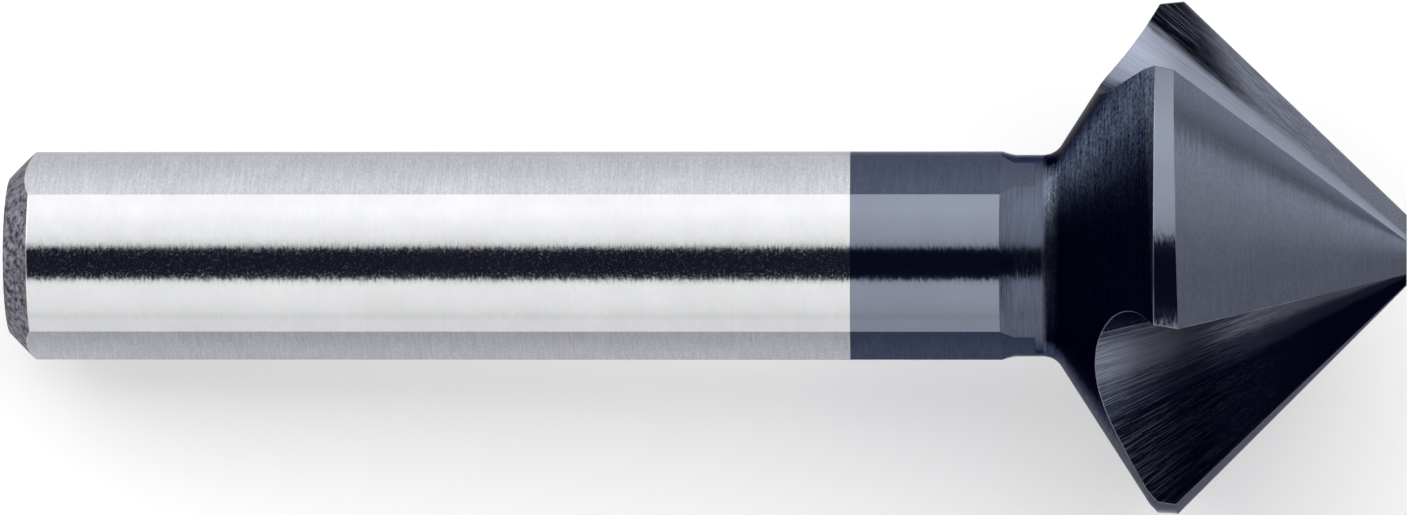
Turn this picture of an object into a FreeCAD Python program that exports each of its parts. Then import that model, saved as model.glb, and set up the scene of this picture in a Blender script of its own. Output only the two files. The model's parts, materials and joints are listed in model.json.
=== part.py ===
import FreeCAD
import Part

import math
import os

# Three-flute conical countersink bit, ground from one bar of tool steel.
# It is modelled along its own axis, from the shank's end face at x = 0 to the
# tip. Angles about the axis are counted in the direction in which it cuts,
# from +Y towards +Z. At the end the bit is laid down as it rests on a table.
# Lengths are in millimetres, angles in degrees.

# Whole bit
overall_length = 67.0
head_d = 25.2            # across the cutting edges, where they meet the lands
tip_d = 3.9              # across the cutting edges at the flat tip
point_angle = 90.0

# Shank, gripped in a drill chuck
shank_d = 10.0
end_chamfer = 1.25
chamfer_crown_r = 28.0   # the chamfer bulges very slightly
flat_depth = 0.27        # how far each flat lies below the shank's surface
flat_runout = 1.65       # the flats run on past the shank, into the neck
flat_lead = 49.5         # from a cutting edge forward to the middle of a flat

# Neck and back of the head, turned with one round-nosed tool
neck_step = 0.17         # how far the neck lies below the shank's surface
neck_slope_length = 0.66
neck_slope_r = 4.0       # the slope down to the neck is slightly hollow
neck_length = 2.55       # end of the shank to where the back of the head starts
tool_nose_r = 1.0
back_cone_angle = 57.3   # between the back of the head and the axis

# Lands: each falls away behind its cutting edge, on a shifted axis
flute_count = 3
land_width = 1.16
land_taper = 3.0         # the lands narrow towards the shank
land_bevel_angle = 45.0  # behind each land, to the axis
land_shift = 0.32
flank_shift = 0.68
edge_lead_at_tip = 11.7  # the edge turns forward on its way to the tip

# Flutes: a rake face and a back wall that meet in a round root
rake_hook = 6.9          # from the radius through the edge to the rake face
wall_angle = 75.9        # from the same radius to the back wall
depth_at_land = 9.27     # edge to the corner of rake face and back wall
depth_at_tip = 1.84
root_r_at_land = 4.87
root_r_at_tip = 0.6

# Room that the cutters run past the metal
overrun = 0.1
blank_allowance = 1.0

shank_r = shank_d / 2
neck_r = shank_r - neck_step
head_r = head_d / 2
tip_r = tip_d / 2
pitch = 360.0 / flute_count
flank_slope = math.tan(math.radians(point_angle / 2))
taper_slope = math.tan(math.radians(land_taper))
back_slope = math.tan(math.radians(back_cone_angle))
bevel_slope = math.tan(math.radians(land_bevel_angle))
origin = FreeCAD.Vector(0, 0, 0)
x_axis = FreeCAD.Vector(1, 0, 0)


def polar(x, radius, angle):
    """Point at a radius and an angle about the axis."""
    a = math.radians(angle)
    return FreeCAD.Vector(x, radius * math.cos(a), radius * math.sin(a))


# The flank is a cone on an axis shifted forward of the cutting edge. Its radius
# is taken at the land and at the tip, so that it holds the edge at both.
tip_edge = polar(overall_length, tip_r, edge_lead_at_tip)
flank_r_at_land = math.hypot(head_r, flank_shift)
flank_r_at_tip = math.hypot(tip_edge.y, tip_edge.z - flank_shift)
land_front_x = overall_length - (flank_r_at_land - flank_r_at_tip) / flank_slope
land_back_x = land_front_x - land_width
land_back_r = head_r - land_width * taper_slope
land_edge = polar(land_front_x, head_r, 0.0)

# The back of the head runs down to the neck, and the shank takes what is left
head_back_x = land_back_x - (land_back_r - neck_r) / back_slope
shank_length = head_back_x - neck_length
flat_length = shank_length + flat_runout

along_rake = polar(0, 1, rake_hook)
along_wall = polar(0, 1, wall_angle)


def blank_outline():
    """Half section of the turned blank: shank, neck, back cone and rough head."""
    nose = tool_nose_r
    turn = math.radians(back_cone_angle)
    fillet_x = head_back_x - nose * math.tan(turn / 2)
    fillet_centre = FreeCAD.Vector(fillet_x, neck_r + nose, 0)
    blank_r = head_r + blank_allowance
    blank_x = land_back_x + (blank_r - land_back_r) / back_slope

    def on_fillet(angle):
        return fillet_centre + FreeCAD.Vector(math.sin(angle), -math.cos(angle), 0) * nose

    def crowned(start, end, radius):
        """Middle of a flat arc that bulges to the left of the way from start to end."""
        way = end - start
        bulge = radius - math.sqrt(radius ** 2 - (way.Length / 2) ** 2)
        return (start + end) * 0.5 + FreeCAD.Vector(-way.y, way.x, 0) * (bulge / way.Length)

    end_rim = FreeCAD.Vector(0, shank_r - end_chamfer, 0)
    chamfer_rim = FreeCAD.Vector(end_chamfer, shank_r, 0)
    crown = crowned(end_rim, chamfer_rim, chamfer_crown_r)
    shank_end = FreeCAD.Vector(shank_length, shank_r, 0)
    neck_start = FreeCAD.Vector(shank_length + neck_slope_length, neck_r, 0)
    hollow = crowned(neck_start, shank_end, neck_slope_r)
    neck_end = FreeCAD.Vector(fillet_x, neck_r, 0)
    cone_start = on_fillet(turn)
    blank_corner = FreeCAD.Vector(blank_x, blank_r, 0)
    tip_corner = FreeCAD.Vector(overall_length, blank_r, 0)
    tip_centre = FreeCAD.Vector(overall_length, 0, 0)
    edges = [
        Part.makeLine(origin, end_rim),
        Part.Arc(end_rim, crown, chamfer_rim).toShape(),
        Part.makeLine(chamfer_rim, shank_end),
        Part.Arc(shank_end, hollow, neck_start).toShape(),
        Part.makeLine(neck_start, neck_end),
        Part.Arc(neck_end, on_fillet(turn / 2), cone_start).toShape(),
        Part.makeLine(cone_start, blank_corner),
        Part.makeLine(blank_corner, tip_corner),
        Part.makeLine(tip_corner, tip_centre),
        Part.makeLine(tip_centre, origin),
    ]
    return Part.Wire(edges)


def make_blank():
    face = Part.Face(blank_outline())
    return face.revolve(origin, x_axis, 360)


def shifted_cone(start_x, end_x, radius_at_land, slope, shift):
    """Cone on an axis shifted forward of the cutting edge at angle zero."""
    start_r = radius_at_land + (start_x - land_front_x) * slope
    end_r = radius_at_land + (end_x - land_front_x) * slope
    base = FreeCAD.Vector(start_x, 0, shift)
    return Part.makeCone(start_r, end_r, end_x - start_x, base, x_axis)


def relief_cutter():
    """Everything outside one land, over one pitch about the axis."""
    start_x = land_back_x - land_width
    end_x = overall_length + overrun
    land_r = math.hypot(head_r, land_shift)
    bevel_r = land_r + land_width * (bevel_slope - taper_slope)
    bevel = shifted_cone(start_x, end_x, bevel_r, bevel_slope, land_shift)
    land = shifted_cone(start_x, end_x, land_r, taper_slope, land_shift)
    flank = shifted_cone(start_x, end_x, flank_r_at_land, -flank_slope, flank_shift)
    # the sector ends in the flute ahead of the edge, where nothing of it shows
    front_angle = edge_lead_at_tip + rake_hook / 2
    corners = [FreeCAD.Vector(start_x, 0, 0)]
    for share in (0.0, 0.5, 1.0):
        corners.append(polar(start_x, 3 * head_r, front_angle - share * pitch))
    corners.append(corners[0])
    face = Part.Face(Part.makePolygon(corners))
    sector = face.extrude(x_axis * (end_x - start_x))
    return sector.cut(bevel.common(land).common(flank))


def flute_corner(x):
    """Where rake face and back wall would meet at x, below the cutting edge."""
    share = (x - land_front_x) / (overall_length - land_front_x)
    depth = depth_at_land + (depth_at_tip - depth_at_land) * share
    return land_edge + (tip_edge - land_edge) * share - along_rake * depth


def flute_section(x):
    """Outline of the flute cutter across the axis at x."""
    share = (x - land_front_x) / (overall_length - land_front_x)
    root_r = root_r_at_land + (root_r_at_tip - root_r_at_land) * share
    middle = polar(0, 1, (rake_hook + wall_angle) / 2)
    half = math.radians((wall_angle - rake_hook) / 2)
    reach = depth_at_land + 2 * head_r

    corner = flute_corner(x)
    rake_out = corner + along_rake * reach
    rake_in = corner + along_rake * (root_r / math.tan(half))
    root = corner + middle * (root_r / math.sin(half) - root_r)
    wall_in = corner + along_wall * (root_r / math.tan(half))
    wall_out = corner + along_wall * reach
    edges = [
        Part.makeLine(rake_out, rake_in),
        Part.Arc(rake_in, root, wall_in).toShape(),
        Part.makeLine(wall_in, wall_out),
        Part.makeLine(wall_out, rake_out),
    ]
    return Part.Wire(edges)


def flute_cutter():
    """A flute narrows in a straight line from behind the head to the tip."""
    ends = [flute_section(head_back_x), flute_section(overall_length + overrun)]
    return Part.makeLoft(ends, True, True)


def flat_cutter():
    """The metal above one flat of the shank."""
    box = Part.makeBox(flat_length + overrun, shank_d, shank_d)
    box.translate(FreeCAD.Vector(-overrun, shank_r - flat_depth, -shank_r))
    box.rotate(origin, x_axis, flat_lead)
    return box


def ray_to_circle(start, direction, centre, radius):
    """Where a line across the axis leaves a circle across the axis."""
    across = FreeCAD.Vector(0, start.y - centre.y, start.z - centre.z)
    along = across.dot(direction)
    reach = -along + math.sqrt(along ** 2 - across.dot(across) + radius ** 2)
    return start + direction * reach


def lay_down(bit):
    """Lays the bit on its first flute. It touches the table with the front corner
    of the cutting edge, with the next land's back corner beyond the flute, and
    with the rim of the shank's chamfer."""
    land_r = math.hypot(head_r, land_shift) - land_width * taper_slope
    next_centre = polar(land_back_x, land_shift, 90.0 + pitch)
    heel = ray_to_circle(flute_corner(land_back_x), along_wall, next_centre, land_r)

    # the line through both corners meets the plane of the rim far out to one
    # side, and the table's own line in that plane is the tangent from there
    share = (end_chamfer - land_edge.x) / (heel.x - land_edge.x)
    far = land_edge + (heel - land_edge) * share
    down = math.atan2(far.z, far.y) - math.acos(shank_r / math.hypot(far.y, far.z))
    drop = land_edge.dot(polar(0, 1, math.degrees(down))) - shank_r
    tilt = math.atan2(drop, land_front_x - end_chamfer)

    resting = bit.copy()
    resting.rotate(origin, x_axis, -90.0 - math.degrees(down))
    resting.rotate(origin, FreeCAD.Vector(0, 1, 0), -math.degrees(tilt))
    box = resting.optimalBoundingBox(False, False)
    resting.translate(FreeCAD.Vector(-box.Center.x, -box.Center.y, -box.ZMin))
    return resting


def make_countersink():
    bit = make_blank()
    for number in range(flute_count):
        for cutter in (relief_cutter(), flute_cutter(), flat_cutter()):
            cutter.rotate(origin, x_axis, number * pitch)
            bit = bit.cut(cutter)
    return bit.Solids[0]


os.makedirs("parts", exist_ok=True)
countersink = lay_down(make_countersink())
countersink.exportStep("parts/countersink.step")
print("solids", len(countersink.Solids), "valid", countersink.isValid())
print("volume mm3", round(countersink.Volume, 1))
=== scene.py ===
import json
import math
import bpy
import bmesh
from mathutils import Matrix, Vector

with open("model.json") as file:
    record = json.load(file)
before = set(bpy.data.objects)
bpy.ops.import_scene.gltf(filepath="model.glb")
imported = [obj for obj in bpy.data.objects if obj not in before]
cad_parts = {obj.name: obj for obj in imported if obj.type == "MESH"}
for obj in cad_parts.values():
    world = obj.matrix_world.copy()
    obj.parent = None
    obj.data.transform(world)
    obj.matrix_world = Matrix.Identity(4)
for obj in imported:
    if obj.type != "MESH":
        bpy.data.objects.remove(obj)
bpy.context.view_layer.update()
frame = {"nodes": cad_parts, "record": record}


print("frame loaded")

# The bit lies tilted on the table. Its own axis runs from the middle of the
# shank's end face to the tip, and the first flat of the shank gives its roll.
mounts = {mount["name"]: mount for mount in frame["record"]["mounts"]}
mm = 0.001
fluteCount = 3
pitch = 360.0 / fluteCount  # degrees from one cutting edge to the next
flatLead = 49.5             # degrees from a cutting edge to the middle of the first flat
shankEnd = Vector(mounts["shank_end"]["pos_m"])
toolAxis = -Vector(mounts["shank_end"]["axis"])
flatOut = Vector(mounts["shank_flat_1"]["axis"])
flatSide = toolAxis.cross(flatOut)
edgeOut = flatOut * math.cos(math.radians(flatLead)) - flatSide * math.sin(math.radians(flatLead))
edgeOut.normalize()
edgeSide = toolAxis.cross(edgeOut).normalized()
toolTurn = Matrix((toolAxis, edgeOut, edgeSide)).transposed()  # its columns are the bit's own axes
shankLength = mounts["shank"]["dims"]["length_mm"]

# Camera

cameraLook = {
    "foot": 67.7,         # mm from the shank's end, where the lens stands square to the axis
    "distance": 613.6,    # mm from the axis
    "aimAlong": 33.34,    # mm from the shank's end, the middle of the picture
    "aimBelow": 0.09,     # mm
    "rollAngle": -135.9,  # degrees about the axis, from a cutting edge to the viewer
    "width": 67.45,       # mm that the picture shows across the aim
    "sensor": 36.0,
    "nearest": 0.01,      # m, what is closer isn't seen
}


def addCamera(look):
    roll = math.radians(look["rollAngle"])
    toViewer = edgeOut * math.cos(roll) + edgeSide * math.sin(roll)
    upInView = toViewer.cross(toolAxis)
    place = shankEnd + (toolAxis * look["foot"] + toViewer * look["distance"]) * mm
    aim = shankEnd + (toolAxis * look["aimAlong"] - upInView * look["aimBelow"]) * mm
    back = (place - aim).normalized()
    right = upInView.cross(back).normalized()
    up = back.cross(right)
    data = bpy.data.cameras.new("camera")
    data.sensor_width = look["sensor"]
    data.lens = look["sensor"] * (place - aim).length / (look["width"] * mm)
    data.clip_start = look["nearest"]
    camera = bpy.data.objects.new("camera", data)
    bpy.context.collection.objects.link(camera)
    turn = Matrix((right, up, back)).transposed().to_4x4()
    camera.matrix_world = Matrix.Translation(place) @ turn
    bpy.context.scene.camera = camera
    return toViewer, upInView


toViewer, upInView = addCamera(cameraLook)
bpy.context.scene.view_settings.view_transform = "Standard"
print("camera placed")


# Small helpers for node trees

def plug(tree, socket, value):
    if isinstance(value, bpy.types.NodeSocket):
        tree.links.new(value, socket)
    else:
        socket.default_value = value


def calc(tree, operation, *values, clamp=False):
    node = tree.nodes.new("ShaderNodeMath")
    node.operation = operation
    node.use_clamp = clamp
    for socket, value in zip(node.inputs, values):
        plug(tree, socket, value)
    return node.outputs[0]


def vectorCalc(tree, operation, *values):
    node = tree.nodes.new("ShaderNodeVectorMath")
    node.operation = operation
    for socket, value in zip(node.inputs, values):
        plug(tree, socket, value)
    return node.outputs[0]


def dot(tree, vector, direction):
    node = tree.nodes.new("ShaderNodeVectorMath")
    node.operation = "DOT_PRODUCT"
    plug(tree, node.inputs[0], vector)
    plug(tree, node.inputs[1], direction)
    return node.outputs["Value"]


def combine(tree, x, y, z):
    node = tree.nodes.new("ShaderNodeCombineXYZ")
    for socket, value in zip(node.inputs, (x, y, z)):
        plug(tree, socket, value)
    return node.outputs[0]


def ramp(tree, value, low, high, toLow=0.0, toHigh=1.0):
    # eases from toLow at low to toHigh at high, and stays there beyond
    node = tree.nodes.new("ShaderNodeMapRange")
    node.interpolation_type = "SMOOTHSTEP"
    names = ("Value", "From Min", "From Max", "To Min", "To Max")
    for name, amount in zip(names, (value, low, high, toLow, toHigh)):
        plug(tree, node.inputs[name], amount)
    return node.outputs["Result"]


def profile(tree, value, stops):
    # straight from stop to stop, each of which is a value and what comes out there;
    # the node's colours hold half of that
    low, high = stops[0][0], stops[-1][0]
    node = tree.nodes.new("ShaderNodeValToRGB")
    elements = node.color_ramp.elements
    while len(elements) < len(stops):
        elements.new(0.5)
    for element, (at, amount) in zip(elements, stops):
        element.position = (at - low) / (high - low)
    for element, (at, amount) in zip(elements, stops):
        element.color = (amount / 2, amount / 2, amount / 2, 1.0)
    share = calc(tree, "DIVIDE", calc(tree, "SUBTRACT", value, low), high - low)
    plug(tree, node.inputs[0], share)
    return calc(tree, "MULTIPLY", node.outputs[0], 2.0)


def blend(tree, share, low, high):
    node = tree.nodes.new("ShaderNodeMix")
    node.data_type = "FLOAT"
    plug(tree, node.inputs[0], share)
    plug(tree, node.inputs[2], low)
    plug(tree, node.inputs[3], high)
    return node.outputs[0]


def blendColour(tree, share, low, high):
    # low and high are colours of three numbers, or sockets
    node = tree.nodes.new("ShaderNodeMix")
    node.data_type = "RGBA"
    plug(tree, node.inputs[0], share)
    for socket, colour in zip((node.inputs[6], node.inputs[7]), (low, high)):
        plug(tree, socket, colour if isinstance(colour, bpy.types.NodeSocket) else (*colour, 1.0))
    return node.outputs[2]


def product(tree, *values):
    result = values[0]
    for value in values[1:]:
        result = calc(tree, "MULTIPLY", result, value)
    return result


def over(tree, value, limit):
    return calc(tree, "GREATER_THAN", value, limit)


def under(tree, value, limit):
    return calc(tree, "LESS_THAN", value, limit)


def inverse(tree, mask):
    return calc(tree, "SUBTRACT", 1.0, mask)


def factorWhere(tree, mask, factor):
    # the factor where the mask is 1, and 1 where it is 0
    return calc(tree, "MULTIPLY_ADD", mask, factor - 1.0, 1.0)


def turnOf(tree, across, ahead):
    return calc(tree, "DEGREES", calc(tree, "ARCTAN2", ahead, across))


def wrapped(tree, value, start, span):
    # brings an angle into one span from start
    value = calc(tree, "FLOORED_MODULO", calc(tree, "SUBTRACT", value, start), span)
    return calc(tree, "ADD", value, start)


# Studio: two long softboxes beside the bit, with a dark gap between them

studioLook = {
    # roll about the bit's axis, in degrees from the viewer towards the picture's top, and light there
    "ring": [(-180.0, 1.0), (-110.0, 0.9), (-90.0, 0.85), (-76.0, 1.0), (-68.0, 1.17), (-51.0, 1.29),
             (-33.0, 1.34), (-29.0, 1.17), (-25.0, 0.03), (-22.0, 0.012), (6.1, 0.012), (7.7, 0.1),
             (9.4, 0.56), (11.3, 0.95), (14.0, 1.16), (18.0, 1.27), (23.0, 1.36), (37.0, 1.5),
             (51.0, 1.65), (66.0, 1.63), (75.0, 1.5), (90.0, 1.35), (105.0, 1.1), (125.0, 1.0),
             (180.0, 1.0)],
    "tipFade": (24.0, 34.0),     # degrees past square, where the boxes end on the tip's side
    "tipSide": (0.17, 1.15),     # light there, below and above in the picture
    "tipRise": (0.0, 0.45),      # how far up the change takes place
    "farFade": (50.0, 62.0),     # degrees past square, where the room beyond the tip shows
    "farSide": 0.95,
    "endFade": (14.0, 28.0),     # and where the boxes end on the shank's side
    # light beyond the shank's end, from below to above
    "endSide": [(-1.0, 1.9), (-0.35, 1.9), (-0.15, 0.4), (0.08, 0.4), (0.25, 2.6), (1.0, 2.6)],
    "horizon": 1.06,
    "horizonFade": (2.0, 12.0),  # degrees above the floor
    "gapShift": 6.0,             # degrees that the gap rises over the shank's side
    "gapShiftFade": (-20.0, -3.0),
    "gapTint": (0.8, 0.96, 1.9),
    "gapTintFade": (0.0, 0.3),   # light up to which the tint shows
}


def lightStudio(look):
    world = bpy.data.worlds.new("studio")
    bpy.context.scene.world = world
    world.use_nodes = True
    tree = world.node_tree
    direction = tree.nodes.new("ShaderNodeTexCoord").outputs["Generated"]
    along = dot(tree, direction, toolAxis)
    above = dot(tree, direction, upInView)
    toward = dot(tree, direction, toViewer)
    roll = turnOf(tree, toward, above)
    lean = calc(tree, "DEGREES", calc(tree, "ARCSINE", along))
    shift = ramp(tree, lean, *look["gapShiftFade"], look["gapShift"], 0.0)
    boxes = profile(tree, calc(tree, "SUBTRACT", roll, shift), look["ring"])
    tipLight = ramp(tree, above, *look["tipRise"], *look["tipSide"])
    tipLight = calc(tree, "MINIMUM", boxes, tipLight)
    light = blend(tree, ramp(tree, lean, *look["tipFade"]), boxes, tipLight)
    light = blend(tree, ramp(tree, lean, *look["farFade"]), light, look["farSide"])
    endLight = profile(tree, above, look["endSide"])
    endLean = calc(tree, "MULTIPLY", lean, -1.0)
    light = blend(tree, ramp(tree, endLean, *look["endFade"]), light, endLight)
    height = calc(tree, "DEGREES", calc(tree, "ARCSINE", dot(tree, direction, (0, 0, 1))))
    light = blend(tree, ramp(tree, height, *look["horizonFade"]), look["horizon"], light)
    tint = blendColour(tree, ramp(tree, light, *look["gapTintFade"]), look["gapTint"], (1.0, 1.0, 1.0))
    background = tree.nodes["Background"]
    plug(tree, background.inputs["Strength"], light)
    plug(tree, background.inputs["Color"], tint)


floorLook = {
    "colour": (0.73, 0.73, 0.732),
    "glow": 0.33,  # white that the floor adds to what the camera and the metal see
    "size": 4.0,   # m
    "drop": 0.01,  # mm below the bit
}


def layFloor(look):
    mesh = bpy.data.meshes.new("floor")
    shape = bmesh.new()
    bmesh.ops.create_grid(shape, x_segments=1, y_segments=1, size=look["size"] / 2)
    bmesh.ops.translate(shape, verts=shape.verts, vec=(0, 0, -look["drop"] * mm))
    shape.to_mesh(mesh)
    shape.free()
    floor = bpy.data.objects.new("floor", mesh)
    bpy.context.collection.objects.link(floor)
    material = bpy.data.materials.new("pale floor")
    material.use_nodes = True
    tree = material.node_tree
    shader = tree.nodes["Principled BSDF"]
    shader.inputs["Base Color"].default_value = (*look["colour"], 1.0)
    shader.inputs["Roughness"].default_value = 1.0
    shader.inputs["Specular IOR Level"].default_value = 0.0
    shader.inputs["Emission Color"].default_value = (1.0, 1.0, 1.0, 1.0)
    rays = tree.nodes.new("ShaderNodeLightPath").outputs
    seen = calc(tree, "ADD", rays["Is Camera Ray"], rays["Is Glossy Ray"])
    seen = calc(tree, "ADD", seen, rays["Is Transmission Ray"], clamp=True)
    plug(tree, shader.inputs["Emission Strength"], calc(tree, "MULTIPLY", seen, look["glow"]))
    mesh.materials.append(material)


lightStudio(studioLook)
layFloor(floorLook)
print("studio lit")

# Steel: bright and finely ground on the shank, coated dark from the coating line
# to the tip, matte on the flats, unground on the end, streaked in the flutes

steelLook = {
    "bare": (0.572, 0.575, 0.583),
    "bareFlat": (0.495, 0.50, 0.53),
    "unground": (0.145, 0.142, 0.166),
    "coated": (0.178, 0.196, 0.243),
    "coatedFlat": (0.072, 0.084, 0.122),
    # the coated zones that have a colour of their own; the head's back is darkened further by painted shade
    "neck": (0.078, 0.09, 0.125),
    "back": (0.032, 0.0375, 0.05),
    "flank": (0.118, 0.13, 0.168),
    "flute": (0.165, 0.18, 0.225),
    # painted glow: the coating gives off a faint navy light, though it is no lamp
    "paintedGlow": (0.05, 0.03, 1.0),
    "paintedGlowLight": 0.004,             # keeps the coating navy where it mirrors the dark
    "edgeTint": (0.62, 0.62, 0.65),  # how much of the light stays at a grazing angle, on bright steel
    "matteTint": (0.3, 0.3, 0.33),   # and on the flats and the coating
    "cloudTone": 0.08,               # slow clouds make the colour this much lighter and darker
    "darkest": 0.012,
    # painted light across a flat, lighter towards one side, by degrees about the axis from its middle
    "paintedFlatLight": (0.9, 1.16),
    "flatFade": (-18.0, 18.0),
    # painted reflection and shade on a flank and on the head's back, as tone by degrees about the axis from
    # a cutting edge
    "paintedFlankLight": [(58.0, 1.3), (64.0, 1.08), (68.0, 0.84), (71.0, 0.7), (74.0, 0.8), (78.0, 1.22),
                  (82.0, 1.34), (88.0, 1.22), (95.0, 1.03), (102.0, 0.8), (110.0, 0.69), (120.0, 0.68)],
    "paintedBackLight": [(40.0, 0.2), (47.0, 2.0), (55.0, 3.6), (66.0, 2.5), (75.0, 1.3), (85.0, 0.38),
                 (95.0, 0.14), (160.0, 0.14)],
    "toneStart": 40.0,               # degrees, where each pitch of those tones begins
    "toneWaver": 5.0,                # degrees that the turned rings move them
    "specks": (0.45, 0.8),           # duller specks on the bare shank, and how dull
    "speckRough": 0.14,
    "speckleShare": 0.5,             # how much speckle the head's back has, instead of rings
    "fineShare": 0.6,                # and how much fine noise the flanks and flats have
    "patternRange": (0.3, 0.7),
    "jitter": 0.07,                  # how far the faces' fine unevenness turns the light
    "fluteJitter": 0.015,

    # where each finish lies: mm along the bit from the shank's end, and how its faces
    # lean, from -1 towards the shank's end to 1 towards the tip
    "zones": {
        "coatingLine": 40.39,
        "coatingTilt": (0.038, -135.9),  # it runs slightly out of square: slope, and degrees about the axis
        "flatStart": 0.02,
        "flatFacing": 0.9985,            # cosine to a flat's own direction
        "chamferEnd": 1.3,
        "chamferLean": -0.4,
        "neckStart": shankLength + 0.01,
        "neckEnd": 51.0,
        "headStart": 49.6,
        "backLean": -0.55,
        "backFade": (-0.02, -0.3),
        "flankLean": 0.6,
        "fluteLean": (0.1, 0.5),         # its middle, and how far to each side
        "landRadius": 11.8,
        "landLean": (-0.1, 0.0),
    },

    # noise: how often it changes along and across the bit, its detail and its roughness
    "patterns": {
        "rings": (12.0, 0.5, 3.0, 0.65),
        "grain": (3.6, 3.6, 3.0, 0.65),
        "clouds": (0.5, 0.5, 3.0, 0.6),
        "fuzz": (9.0, 3.0, 2.0, 0.5),
        "speckle": (9.0, 5.0, 2.0, 0.6),
        "fine": (14.0, 5.0, 3.0, 0.7),
        "specks": (10.0, 10.0, 2.0, 0.5),
    },

    # grinding lines of the flutes, and where the flutes carry painted shade, a painted highlight or a
    # smoother finish; what is called facing runs from -14 degrees on the back wall to 97 on the rake face
    "flutes": {
        "linesMeet": 69.05,             # mm from the shank's end
        "lineScale": 150.0,
        "lineDrift": 0.0004,            # how fast the lines change on their way
        "lineDetail": (4.0, 0.68),
        "lineFade": (57.0, 65.0),       # mm, where they become too fine to see
        "lineLeft": 0.25,
        "facingStart": -22.0,
        # the root is smoother next to the rake face, and carries a painted highlight at its rear
        "rootLean": (-0.14, -0.08),
        "rootFacing": (40.0, 52.0),
        "rootCalm": 0.2,
        "paintedRootHighlight": 1.6,
        "paintedRootHighlightFade": (57.0, 53.5),
        # painted shade darkens the rake face behind the land, less far near the cutting edge
        "rakeLean": (-0.05, -0.13),
        "rakeTone": 0.86,
        "rakeReach": (64.4, 61.8),
        "rakeWaver": -10.0,
        "rakeOutward": 11.0,
        "edgesMeet": 68.96,             # mm from the shank's end
        "rakeLines": (0.48, 0.7),
        "paintedRakeShadeLevel": (0.012, 0.34),
        # painted shade on the back wall, by mm from the shank's end
        "paintedWallShadeTone": [(53.0, 0.0), (55.0, 0.12), (56.4, 0.6), (58.5, 0.87), (59.5, 0.87), (61.5, 0.62),
                     (63.5, 0.68), (65.0, 0.75)],
        "wallFacing": (48.0, 36.0),
        "wallWaver": 4.0,
        # coarser lines at the rear
        "scoredLines": (0.45, 0.65),
        "scoredFade": (60.0, 54.0),
        "scoredRough": 0.35,
    },

    # thin lighter line along the sharp edges of the head, and along the rim of the shank's chamfer: partly
    # wear, partly painted highlight
    "edgeWearAndHighlight": {
        "colour": (0.24, 0.26, 0.31),
        "bareColour": (0.7, 0.7, 0.72),
        "width": 0.08,        # mm, by which the edges look rounded
        "start": 51.9,        # mm from the shank's end
        "fade": (60.0, 66.0),
        "rim": (0.2, 1.6),    # mm, where the chamfer's rim lies
        "sharpness": (0.01, 0.08),
        "patches": (0.35, 0.6),
        "thinnest": 0.4,
        "samples": 4,
    },

    # roughness, then how much the pattern changes the colour and how high it stands in micrometres
    "finishes": {
        "ground": (0.09, 0.008, 0.1),
        "flat": (0.38, 0.2, 2.2),
        "neck": (0.15, 0.14, 4.5),
        "back": (0.32, 0.7, 4.0),
        "flank": (0.32, 0.16, 1.0),
        "flute": (0.14, 0.58, 3.0),
        "end": (0.42, 0.8, 4.0),
    },
}


def placeOnBit(tree):
    # position in millimetres along and across the bit, and how the face leans
    mapping = tree.nodes.new("ShaderNodeMapping")
    mapping.vector_type = "TEXTURE"
    mapping.inputs["Location"].default_value = shankEnd
    mapping.inputs["Rotation"].default_value = toolTurn.to_euler()
    mapping.inputs["Scale"].default_value = (mm, mm, mm)
    plug(tree, mapping.inputs["Vector"], tree.nodes.new("ShaderNodeTexCoord").outputs["Object"])
    split = tree.nodes.new("ShaderNodeSeparateXYZ")
    plug(tree, split.inputs[0], mapping.outputs[0])
    along, across, ahead = split.outputs
    geometry = tree.nodes.new("ShaderNodeNewGeometry").outputs
    squares = calc(tree, "MULTIPLY_ADD", across, across, calc(tree, "MULTIPLY", ahead, ahead))
    return {
        "place": mapping.outputs[0],
        "along": along,
        "across": across,
        "ahead": ahead,
        "radius": calc(tree, "SQRT", squares),
        "turn": turnOf(tree, across, ahead),
        "face": geometry["True Normal"],
        "normal": geometry["Normal"],
        "lean": dot(tree, geometry["True Normal"], toolAxis),
        "softLean": dot(tree, geometry["Normal"], toolAxis),
    }


def findZones(tree, at, look):
    along, lean = at["along"], at["lean"]
    flatFace = 0.0
    for number in range(fluteCount):
        turn = Matrix.Rotation(math.radians(number * pitch), 3, toolAxis)
        facesOut = over(tree, dot(tree, at["face"], turn @ flatOut), look["flatFacing"])
        flatFace = calc(tree, "MAXIMUM", flatFace, facesOut)
    slope, slopeTurn = look["coatingTilt"][0], math.radians(look["coatingTilt"][1])
    slant = (1.0, -slope * math.cos(slopeTurn), -slope * math.sin(slopeTurn))
    onHead = over(tree, along, look["headStart"])
    beforeHead = under(tree, along, look["headStart"])
    beforeNeckEnd = under(tree, along, look["neckEnd"])
    bevelled = ramp(tree, at["softLean"], *look["backFade"])
    fromFluteLean = calc(tree, "ABSOLUTE", calc(tree, "SUBTRACT", lean, look["fluteLean"][0]))
    land = product(tree, over(tree, at["radius"], look["landRadius"]),
                   over(tree, lean, look["landLean"][0]), under(tree, lean, look["landLean"][1]))
    return {
        "coated": over(tree, dot(tree, at["place"], slant), look["coatingLine"]),
        "flat": product(tree, flatFace, beforeHead, over(tree, along, look["flatStart"])),
        "end": product(tree, under(tree, along, look["chamferEnd"]),
                       under(tree, lean, look["chamferLean"])),
        "neck": product(tree, over(tree, along, look["neckStart"]), beforeNeckEnd),
        "back": calc(tree, "MAXIMUM", product(tree, onHead, under(tree, lean, look["backLean"])),
                     product(tree, onHead, beforeNeckEnd, bevelled)),
        "flank": product(tree, onHead, over(tree, lean, look["flankLean"])),
        "flute": product(tree, over(tree, along, look["neckEnd"]),
                         under(tree, fromFluteLean, look["fluteLean"][1]), inverse(tree, land)),
    }


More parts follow.
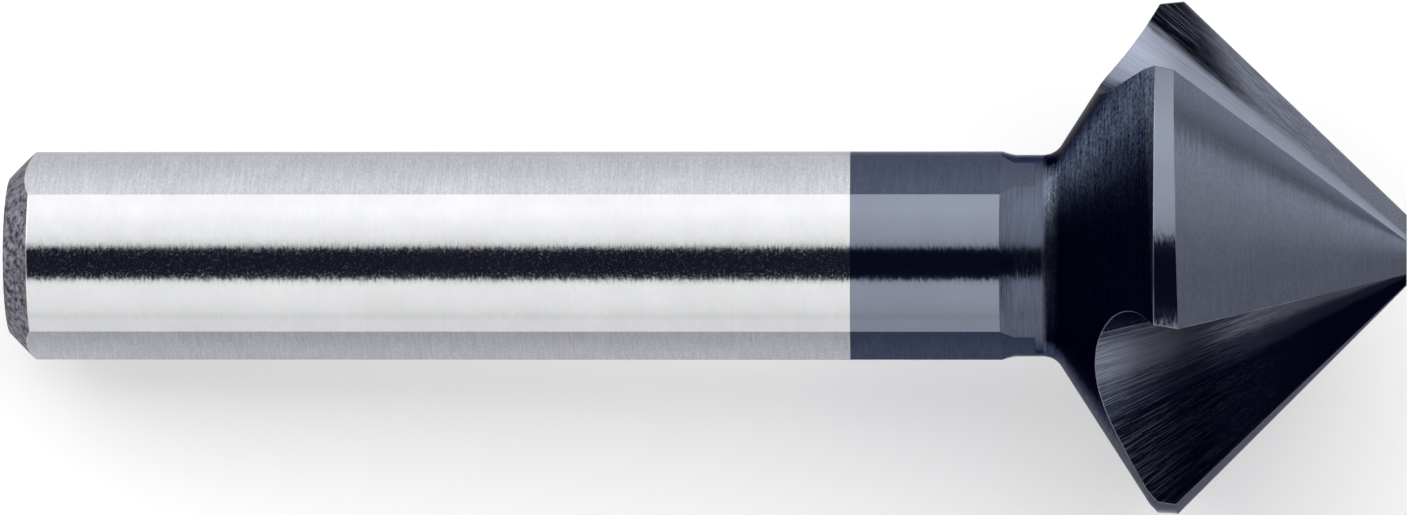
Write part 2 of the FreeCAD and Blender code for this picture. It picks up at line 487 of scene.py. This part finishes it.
def addNoise(tree, vector, scale, detail, roughness):
    node = tree.nodes.new("ShaderNodeTexNoise")
    plug(tree, node.inputs["Vector"], vector)
    plug(tree, node.inputs["Scale"], scale)
    plug(tree, node.inputs["Detail"], detail)
    plug(tree, node.inputs["Roughness"], roughness)
    return node


def drawPatterns(tree, at, looks, flutes):
    # turned rings, grain and specks, and grinding lines that run to one point
    nodes = {}
    for name, (often, oftenAcross, detail, roughness) in looks.items():
        stretched = vectorCalc(tree, "MULTIPLY", at["place"], (often, oftenAcross, oftenAcross))
        nodes[name] = addNoise(tree, stretched, 1.0, detail, roughness)
    patterns = {name: node.outputs[0] for name, node in nodes.items()}
    patterns["fuzz"] = nodes["fuzz"].outputs[1]
    toMeeting = calc(tree, "SUBTRACT", flutes["linesMeet"], at["along"])
    sideways = calc(tree, "DIVIDE", at["across"], toMeeting)
    forwards = calc(tree, "DIVIDE", at["ahead"], toMeeting)
    fan = combine(tree, sideways, forwards, calc(tree, "MULTIPLY", at["along"], flutes["lineDrift"]))
    patterns["lines"] = addNoise(tree, fan, flutes["lineScale"], *flutes["lineDetail"]).outputs[0]
    return patterns


def mixPattern(tree, zones, patterns, look):
    main = blend(tree, zones["flute"], patterns["rings"], patterns["lines"])
    main = blend(tree, zones["end"], main, patterns["grain"])
    speckled = calc(tree, "MULTIPLY", zones["back"], look["speckleShare"])
    main = blend(tree, speckled, main, patterns["speckle"])
    plain = calc(tree, "MAXIMUM", zones["flank"], zones["flat"])
    main = blend(tree, calc(tree, "MULTIPLY", plain, look["fineShare"]), main, patterns["fine"])
    return ramp(tree, main, *look["patternRange"])


def studyFlutes(tree, at, zones, patterns, look):
    # how smooth and how coarse the flutes are from place to place, and where painted shade darkens them and
    # a painted highlight lightens them
    flute, along, softLean, lines = zones["flute"], at["along"], at["softLean"], patterns["lines"]
    facing = turnOf(tree, dot(tree, at["normal"], edgeOut), dot(tree, at["normal"], edgeSide))
    facing = wrapped(tree, facing, look["facingStart"], pitch)
    root = product(tree, flute, ramp(tree, softLean, *look["rootLean"]),
                   ramp(tree, facing, *look["rootFacing"]))
    rake = product(tree, flute, ramp(tree, softLean, *look["rakeLean"]))
    wall = product(tree, flute, ramp(tree, facing, *look["wallFacing"]))

    lineFade = blend(tree, flute, 1.0, ramp(tree, along, *look["lineFade"], 1.0, look["lineLeft"]))
    calm = product(tree, factorWhere(tree, root, look["rootCalm"]), lineFade)

    toEdge = calc(tree, "DIVIDE", at["radius"], calc(tree, "SUBTRACT", look["edgesMeet"], along))
    reach = calc(tree, "MULTIPLY_ADD", toEdge, look["rakeOutward"], along)
    reach = calc(tree, "MULTIPLY_ADD", lines, look["rakeWaver"], reach)
    # painted shade on the rake face behind the land and on the back wall
    paintedRakeShade = product(tree, rake, ramp(tree, reach, *look["rakeReach"]))
    paintedRakeShadeLevel = ramp(tree, lines, *look["rakeLines"], *look["paintedRakeShadeLevel"])
    wallReach = calc(tree, "MULTIPLY_ADD", lines, look["wallWaver"], along)
    paintedWallShade = product(tree, wall, profile(tree, wallReach, look["paintedWallShadeTone"]))
    # painted highlight at the rear of the root
    paintedRootHighlightArea = product(tree, root, ramp(tree, along, *look["paintedRootHighlightFade"]))
    shade = product(tree, blend(tree, paintedRakeShade, 1.0, paintedRakeShadeLevel), inverse(tree, paintedWallShade),
                    factorWhere(tree, rake, look["rakeTone"]),
                    factorWhere(tree, paintedRootHighlightArea, look["paintedRootHighlight"]))

    scored = product(tree, flute, ramp(tree, lines, *look["scoredLines"]),
                     ramp(tree, along, *look["scoredFade"]), inverse(tree, root))
    return calm, shade, calc(tree, "MULTIPLY", scored, look["scoredRough"])


def mixColour(tree, zones, look):
    colour = blendColour(tree, zones["flat"], look["bare"], look["bareFlat"])
    colour = blendColour(tree, zones["end"], colour, look["unground"])
    coat = blendColour(tree, zones["flat"], look["coated"], look["coatedFlat"])
    for name in ("neck", "back", "flank", "flute"):
        coat = blendColour(tree, zones[name], coat, look[name])
    return blendColour(tree, zones["coated"], colour, coat)


def mixTone(tree, at, zones, patterns, tone, look):
    # how much lighter or darker the colour is from place to place: random tone, plus painted light and
    # shade on the flanks, the head's back and the flats
    swing = calc(tree, "MULTIPLY", tone, 2.0)
    shade = calc(tree, "MULTIPLY_ADD", calc(tree, "SUBTRACT", patterns["main"], 0.5), swing, 1.0)
    clouds = calc(tree, "MULTIPLY_ADD", patterns["clouds"], 2 * look["cloudTone"], 1.0 - look["cloudTone"])
    waver = calc(tree, "SUBTRACT", patterns["rings"], 0.5)
    sector = wrapped(tree, at["turn"], look["toneStart"], pitch)
    sector = calc(tree, "MULTIPLY_ADD", waver, look["toneWaver"], sector)
    # painted reflection and shade on the flanks and the head's back, by their turn about the axis
    ground = blend(tree, zones["flank"], 1.0, profile(tree, sector, look["paintedFlankLight"]))
    ground = blend(tree, zones["back"], ground, profile(tree, sector, look["paintedBackLight"]))
    flatTurn = wrapped(tree, calc(tree, "SUBTRACT", at["turn"], flatLead), -pitch / 2, pitch)
    # painted light: each flat lighter towards one side
    flatPaintedLight = blend(tree, zones["flat"], 1.0, ramp(tree, flatTurn, *look["flatFade"], *look["paintedFlatLight"]))
    return product(tree, shade, clouds, ground, flatPaintedLight)


def paintEdgeWearAndHighlight(tree, at, zones, patterns, colour, rounded, look):
    # the lighter line on the rounded edges is partly wear, partly painted highlight
    along = at["along"]
    turned = calc(tree, "SUBTRACT", 1.0, dot(tree, rounded, at["normal"]))
    rim = product(tree, over(tree, along, look["rim"][0]), under(tree, along, look["rim"][1]))
    wearAndHighlightMask = product(tree, ramp(tree, turned, *look["sharpness"]),
                   calc(tree, "MAXIMUM", over(tree, along, look["start"]), rim),
                   ramp(tree, patterns["clouds"], *look["patches"], look["thinnest"], 1.0),
                   ramp(tree, along, *look["fade"], 1.0, 0.0))
    wearAndHighlightColour = blendColour(tree, zones["coated"], look["bareColour"], look["colour"])
    return blendColour(tree, wearAndHighlightMask, colour, wearAndHighlightColour)


def unevenNormal(tree, zones, patterns, relief, rounded, look):
    # the pattern as relief on the rounded edges, and then the fine unevenness
    bump = tree.nodes.new("ShaderNodeBump")
    plug(tree, bump.inputs["Normal"], rounded)
    plug(tree, bump.inputs["Height"], patterns["main"])
    plug(tree, bump.inputs["Distance"], calc(tree, "MULTIPLY", relief, mm * mm))
    offset = vectorCalc(tree, "SUBTRACT", patterns["fuzz"], (0.5, 0.5, 0.5))
    spread = blend(tree, zones["flute"], look["jitter"], look["fluteJitter"])
    spread = combine(tree, spread, spread, spread)
    turned = vectorCalc(tree, "MULTIPLY_ADD", offset, spread, bump.outputs[0])
    return vectorCalc(tree, "NORMALIZE", turned)


def steelMaterial(look):
    material = bpy.data.materials.new("coated tool steel")
    material.use_nodes = True
    tree = material.node_tree
    shader = tree.nodes["Principled BSDF"]
    shader.inputs["Metallic"].default_value = 1.0
    shader.inputs["Emission Color"].default_value = (*look["paintedGlow"], 1.0)

    at = placeOnBit(tree)
    zones = findZones(tree, at, look["zones"])
    patterns = drawPatterns(tree, at, look["patterns"], look["flutes"])
    patterns["main"] = mixPattern(tree, zones, patterns, look)
    rough, tone, relief = look["finishes"]["ground"]
    for name, values in look["finishes"].items():
        if name != "ground":
            rough, tone, relief = (blend(tree, zones[name], old, new)
                                   for old, new in zip((rough, tone, relief), values))
    calm, paintedFluteShadeAndHighlight, fluteRough = studyFlutes(tree, at, zones, patterns, look["flutes"])
    tone = calc(tree, "MULTIPLY", tone, calm)
    relief = calc(tree, "MULTIPLY", relief, calm)

    shade = mixTone(tree, at, zones, patterns, tone, look)
    # the flutes' painted shade and painted highlight darken and lighten the colour
    shade = calc(tree, "MAXIMUM", product(tree, shade, paintedFluteShadeAndHighlight), look["darkest"])
    shaded = tree.nodes.new("ShaderNodeVectorMath")
    shaded.operation = "SCALE"
    plug(tree, shaded.inputs[0], mixColour(tree, zones, look))
    plug(tree, shaded.inputs["Scale"], shade)
    bevel = tree.nodes.new("ShaderNodeBevel")
    bevel.samples = look["edgeWearAndHighlight"]["samples"]
    bevel.inputs["Radius"].default_value = look["edgeWearAndHighlight"]["width"] * mm
    rounded = bevel.outputs[0]
    colour = paintEdgeWearAndHighlight(tree, at, zones, patterns, shaded.outputs[0], rounded, look["edgeWearAndHighlight"])

    rough = calc(tree, "ADD", rough, fluteRough)
    specks = ramp(tree, patterns["specks"], *look["specks"])
    specks = product(tree, inverse(tree, zones["coated"]), specks)
    matte = calc(tree, "MAXIMUM", zones["coated"], zones["flat"])
    tint = blendColour(tree, matte, look["edgeTint"], look["matteTint"])
    # painted glow on the coating
    paintedGlow = calc(tree, "MULTIPLY", zones["coated"], look["paintedGlowLight"])
    plug(tree, shader.inputs["Base Color"], colour)
    plug(tree, shader.inputs["Roughness"], calc(tree, "MULTIPLY_ADD", specks, look["speckRough"], rough))
    plug(tree, shader.inputs["Specular Tint"], tint)
    plug(tree, shader.inputs["Emission Strength"], paintedGlow)
    plug(tree, shader.inputs["Normal"], unevenNormal(tree, zones, patterns, relief, rounded, look))
    return material


bit = frame["nodes"]["countersink"]
bit.material_slots[0].material = steelMaterial(steelLook)
print("steel finished")
